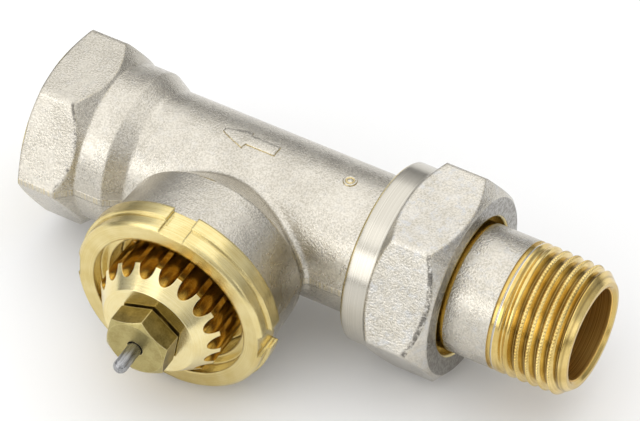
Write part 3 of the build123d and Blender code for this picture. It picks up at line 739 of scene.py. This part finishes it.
def tail_radius(x, angle):
    """The taper thread, shallow where it starts, notched along its crests and bevelled at its end."""
    root = TAIL_ROOT + (TAIL_ROOT_X - x) * TAIL_TAPER
    form = whitworth(x / PITCH - angle / TURN)
    fade = smooth_share(x, TAIL_THREAD_X + TAIL_FADE, TAIL_THREAD_X)
    shallow = form + (1 - form) * TAIL_FADE_SHARE * fade
    radius = min(root + THREAD_DEPTH * shallow, TAIL_CREST_LIMIT)
    if SERRATION_SPAN[0] < x < SERRATION_SPAN[1] and form > SERRATION_FOOT:
        notch = max(0.0, math.cos(angle * SERRATION_COUNT)) ** 2
        radius -= SERRATION_DEPTH * notch * smooth_share(form, SERRATION_FOOT, 1.0)
    bevel = TAIL_RIM + (TAIL_END_X - x) * TAIL_SLOPE
    return max(min(radius, bevel), min(root, bevel)) + SKIN_LIFT


def pipe_radius(x, angle):
    """The pipe socket's thread, which stands in from the bore."""
    form = whitworth(x / PITCH - angle / TURN)
    lead_in = smooth_share(x, 0.0, PIPE_LEAD_IN)
    lead_out = smooth_share(x, PIPE_THREAD_END, PIPE_THREAD_END - PIPE_LEAD_OUT)
    return PIPE_BORE - SKIN_LIFT - THREAD_DEPTH * min(lead_in, lead_out) * form


def spigot_radius(x, angle):
    """The spigot's thread, low enough to stay clear of the nut's bore."""
    lead_in = smooth_share(x, SPIGOT_X, SPIGOT_X + SPIGOT_LEAD_IN)
    lead_out = smooth_share(x, SPIGOT_END_X, SPIGOT_END_X - SPIGOT_LEAD_OUT)
    crest = SPIGOT_CREST * min(lead_in, lead_out)
    return SPIGOT_RADIUS + SKIN_LIFT + crest * whitworth(x / PITCH - angle / TURN)


thread_sleeve("tail_thread", (TAIL_THREAD_X, TAIL_END_X - TAIL_END_INSET), TAIL_ROWS, TAIL_COLUMNS,
              tail_radius, TAIL_BACK_RADIUS, thread_material(), "tail")
pipe_brass = pipe_material()
thread_sleeve("pipe_end_thread", (PIPE_THREAD_START, PIPE_THREAD_END), PIPE_ROWS, PLAIN_COLUMNS, pipe_radius,
              PIPE_BORE + SLEEVE_SINK, pipe_brass, "valve")
thread_sleeve("spigot_thread", (SPIGOT_X + SPIGOT_START_GAP, SPIGOT_END_X), SPIGOT_ROWS, PLAIN_COLUMNS,
              spigot_radius, SPIGOT_RADIUS - SLEEVE_SINK, pipe_brass, "valve")

# Return spring: the same coil as its solid
SPRING_COILS = 5
SPRING_STEPS = 40
SPRING_SIDES = 12
SPRING_RADIUS = 3.65
SPRING_WIRE_RADIUS = 0.35


def return_coil():
    """Round wire wound about the spindle, from its collar to the guide bush."""
    low, high = (corner[1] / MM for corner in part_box("return_spring"))
    rise = high - low - 2 * SPRING_WIRE_RADIUS
    steps = SPRING_COILS * SPRING_STEPS
    points = []
    for step in range(steps + 1):
        angle = TURN * step / SPRING_STEPS
        middle = low + SPRING_WIRE_RADIUS + rise * step / steps
        for side in range(SPRING_SIDES):
            lean = TURN * side / SPRING_SIDES
            radius = SPRING_RADIUS + SPRING_WIRE_RADIUS * math.cos(lean)
            points.append((SPINDLE_X + radius * math.cos(angle),
                           middle + SPRING_WIRE_RADIUS * math.sin(lean), radius * math.sin(angle)))
    faces = []
    for step in range(steps):
        faces += ring_faces(step * SPRING_SIDES, (step + 1) * SPRING_SIDES, SPRING_SIDES)
    faces.append(tuple(range(SPRING_SIDES)))
    faces.append(tuple(steps * SPRING_SIDES + side for side in reversed(range(SPRING_SIDES))))
    coil = add_piece("return_coil", points, faces, MATERIALS["pin_steel"], "valve")
    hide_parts("return_spring")
    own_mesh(coil)


return_coil()

# Marks cast on the barrel: distances along it from the spindle, and degrees from its top towards the pin
RELIEF_FOOT = -0.3
RELIEF_END_DROP = -0.04
RELIEF_SLOPE = ((1.0, -0.12), (0.94, 0.6), (0.8, 1.0), (0.4, 1.0))
ARROW_TIP_X = -5.75
ARROW_BARB_X = -1.65
ARROW_BARB_STEP = 0.25
ARROW_END_X = 3.55
ARROW_MIDDLE = -3.2
ARROW_END_MIDDLE = -3.0
ARROW_HALF_BARB = 10.5
ARROW_HALF_SHAFT = 5.6
ARROW_HALF_TIP = 1.4
ARROW_HEAD_POWER = 0.85
ARROW_HEIGHT = 0.26
ARROW_SIDE = 0.16
ARROW_STATIONS = 12
DOT_X = 16.3
DOT_ANGLE = -3.5
DOT_PROFILE = ((0.25, 0.24), (0.42, 0.16), (0.52, 0.02), (0.68, 0.02), (0.8, 0.2), (0.95, 0.22), (1.1, 0.12),
               (1.18, -0.06), (1.18, RELIEF_FOOT))
DOT_SIDES = 48
relief = relief_material()


def barrel_point(along, degrees, height):
    angle = math.radians(degrees)
    radius = BARREL_RADIUS + height
    return (SPINDLE_X + along, -radius * math.sin(angle), radius * math.cos(angle))


def arrow_outline():
    """Stations from the tip to the end: place, middle angle and half width in degrees."""
    stations = []
    for number in range(ARROW_STATIONS + 1):
        share = number / ARROW_STATIONS
        place = ARROW_TIP_X + share * (ARROW_BARB_X - ARROW_TIP_X)
        half = ARROW_HALF_TIP + share ** ARROW_HEAD_POWER * (ARROW_HALF_BARB - ARROW_HALF_TIP)
        stations.append((place, ARROW_MIDDLE, half))
    shaft_x = ARROW_BARB_X + ARROW_BARB_STEP
    for number in range(ARROW_STATIONS + 1):
        share = number / ARROW_STATIONS
        place = shaft_x + share * (ARROW_END_X - shaft_x)
        middle = ARROW_MIDDLE + share * (ARROW_END_MIDDLE - ARROW_MIDDLE)
        stations.append((place, middle, ARROW_HALF_SHAFT))
    return stations


def flow_arrow():
    """Raised pad with sloping sides that follows the barrel."""
    near_side = [(-side, level) for side, level in RELIEF_SLOPE]
    across = near_side + [(0.0, 1.0)] + list(reversed(RELIEF_SLOPE))
    count = len(across)
    stations = arrow_outline()
    first, last = stations[0], stations[-1]
    stations = [(first[0] - ARROW_SIDE, *first[1:])] + stations + [(last[0] + ARROW_SIDE, *last[1:])]
    final = len(stations) - 1
    points = []
    for number, (place, middle, half) in enumerate(stations):
        at_end = number in (0, final)
        for side, level in across:
            height = RELIEF_END_DROP if at_end else level * ARROW_HEIGHT
            points.append(barrel_point(place, middle + half * side, height))
    foot = len(points)
    points += [barrel_point(place, middle + half * side, RELIEF_FOOT)
               for place, middle, half in stations for side in (-1, 1)]
    faces = []
    for row in range(final):
        here, there = row * count, (row + 1) * count
        for column in range(count - 1):
            faces.append((here + column, here + column + 1, there + column + 1, there + column))
        low, high = foot + 2 * row, foot + 2 * row + 1
        faces.append((low, low + 2, high + 2, high))
        faces.append((here, there, low + 2, low))
        faces.append((here + count - 1, high, high + 2, there + count - 1))
    end = final * count
    faces.append((*range(count), foot + 1, foot))
    faces.append((*range(end + count - 1, end - 1, -1), foot + 2 * final, foot + 2 * final + 1))
    add_piece("flow_arrow", points, faces, relief, "valve")


def cast_dot():
    """Small raised dot inside a raised ring."""
    points = []
    for radius, height in DOT_PROFILE:
        for number in range(DOT_SIDES):
            angle = TURN * number / DOT_SIDES
            degrees = DOT_ANGLE + math.degrees(radius * math.sin(angle) / BARREL_RADIUS)
            points.append(barrel_point(DOT_X + radius * math.cos(angle), degrees, height))
    faces = []
    base = (len(DOT_PROFILE) - 1) * DOT_SIDES
    for here in range(0, base, DOT_SIDES):
        faces += ring_faces(here, here + DOT_SIDES, DOT_SIDES)
    faces.append(tuple(range(DOT_SIDES)))
    faces.append(tuple(base + number for number in reversed(range(DOT_SIDES))))
    add_piece("cast_dot", points, faces, relief, "valve")


flow_arrow()
cast_dot()

# Floor, light and camera; the lamps' places and sizes are in metres
FLOOR_Z = -17.25
FLOOR_HALF = 3.0
FLOOR_CORNERS = ((-1, -1), (1, -1), (1, 1), (-1, 1))
CENTRE = Vector((0.045, -0.01, 0.0))
LAMPS = {
    "top": {"place": (-0.05, 0.10, 0.62), "size": (1.3, 1.1), "watts": 3.4},
    "front": {"place": (-0.42, -0.85, 0.36), "size": (1.0, 0.6), "watts": 3.0},
    "fill": {"place": (0.10, -0.55, 0.75), "size": (1.4, 0.8), "watts": 0.9},
    "right": {"place": (0.95, -0.30, 0.28), "size": (0.4, 0.4), "watts": 0.45},
}
SKY_LEVELS = ((0.0, 0.18), (0.45, 0.70))
CAMERA_AZIMUTH = math.radians(29.57)
CAMERA_ELEVATION = math.radians(46.43)
CAMERA_DISTANCE = 700.0
CAMERA_AIM = (9.94, -2.08)
CAMERA_CLIP = (0.05, 20)
FOCAL_PIXELS = 4531
PHOTO_WIDTH = 640
SENSOR = 36.0


def floor_material():
    graph = Graph("studio_floor")
    shader = graph.node("ShaderNodeBsdfDiffuse", inputs={"Color": FLOOR_COLOUR})
    graph.node("ShaderNodeOutputMaterial", inputs={"Surface": shader.outputs[0]})
    return graph.material


def add_lamp(name, place, size, watts):
    """Rectangular softbox that faces the part."""
    lamp = bpy.data.lights.new(name, "AREA")
    lamp.shape = "RECTANGLE"
    lamp.size, lamp.size_y = size
    lamp.energy = watts
    holder = bpy.data.objects.new(name, lamp)
    holder.location = place
    holder.rotation_mode = "QUATERNION"
    holder.rotation_quaternion = (CENTRE - Vector(place)).to_track_quat("-Z", "Y")
    bpy.context.scene.collection.objects.link(holder)


def add_sky():
    """Grey world that is darker at the horizon than overhead."""
    world = bpy.data.worlds.new("studio")
    bpy.context.scene.world = world
    world.use_nodes = True
    tree = world.node_tree
    place = tree.nodes.new("ShaderNodeTexCoord")
    height = tree.nodes.new("ShaderNodeSeparateXYZ")
    ramp = tree.nodes.new("ShaderNodeValToRGB")
    for stop, (position, level) in zip(ramp.color_ramp.elements, SKY_LEVELS):
        stop.position = position
        stop.color = (level, level, level, 1)
    tree.links.new(place.outputs["Generated"], height.inputs[0])
    tree.links.new(height.outputs[2], ramp.inputs[0])
    tree.links.new(ramp.outputs[0], tree.nodes["Background"].inputs["Color"])


def add_camera():
    """Camera at the photograph's viewing angle."""
    level = math.cos(CAMERA_ELEVATION)
    back = Vector((math.sin(CAMERA_AZIMUTH) * level, -math.cos(CAMERA_AZIMUTH) * level,
                   math.sin(CAMERA_ELEVATION)))
    right = Vector((math.cos(CAMERA_AZIMUTH), math.sin(CAMERA_AZIMUTH), 0))
    up = back.cross(right)
    lens = bpy.data.cameras.new("camera")
    lens.sensor_width = SENSOR
    lens.lens = FOCAL_PIXELS * SENSOR / PHOTO_WIDTH
    lens.clip_start, lens.clip_end = CAMERA_CLIP
    camera = bpy.data.objects.new("camera", lens)
    bpy.context.scene.collection.objects.link(camera)
    aim = Vector((SPINDLE_X, 0, 0)) + CAMERA_AIM[0] * right + CAMERA_AIM[1] * up
    turned_axes = Matrix((right, up, back)).transposed().to_4x4()
    camera.matrix_world = Matrix.Translation((aim + CAMERA_DISTANCE * back) * MM) @ turned_axes
    bpy.context.scene.camera = camera


floor_mesh = bpy.data.meshes.new("floor")
floor_points = [(x * FLOOR_HALF, y * FLOOR_HALF, FLOOR_Z * MM) for x, y in FLOOR_CORNERS]
floor_mesh.from_pydata(floor_points, [], [(0, 1, 2, 3)])
floor_mesh.materials.append(floor_material())
floor = bpy.data.objects.new("floor", floor_mesh)
bpy.context.scene.collection.objects.link(floor)
for lamp_name, lamp_values in LAMPS.items():
    add_lamp(lamp_name, **lamp_values)
add_sky()
add_camera()
bpy.context.scene.view_settings.view_transform = "Standard"
